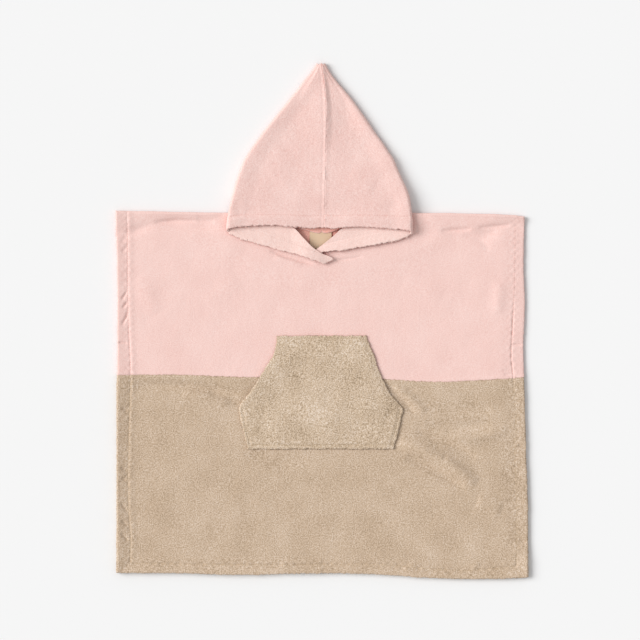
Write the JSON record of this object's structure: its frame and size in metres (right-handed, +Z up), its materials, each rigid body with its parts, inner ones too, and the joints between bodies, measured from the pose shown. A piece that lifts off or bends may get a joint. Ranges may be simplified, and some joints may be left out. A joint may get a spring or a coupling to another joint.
{
  "type": "hooded bath poncho",
  "caption": "Toddler's terry bath poncho laid flat, front up: pointed hood, wide body with open sides, blush top, sand bottom and a kangaroo pocket with slanted mouths.",
  "frame": {"origin": "under the middle of the laid garment's box, on the surface it lies on", "axes": "+Z up off the surface, out of the front; +Y from the bottom hem to the tip of the hood; +X to the right in the picture, the wearer's left"},
  "size_m": [0.6018, 0.7525, 0.0188],
  "materials": {
    "terry_blush": "soft looped cotton terry, matt, with a fine uneven pile",
    "terry_sand": "soft looped cotton terry, matt, with a fine uneven pile",
    "label_tape": "flat woven cotton tape, bare"
  },
  "bodies": {
    "root": {"yoke": "terry_blush", "front_lower": "terry_sand", "back_lower": "terry_sand", "hood_left": "terry_blush", "hood_right": "terry_blush", "pocket": "terry_sand", "label": "label_tape"}
  },
  "joints": []
}
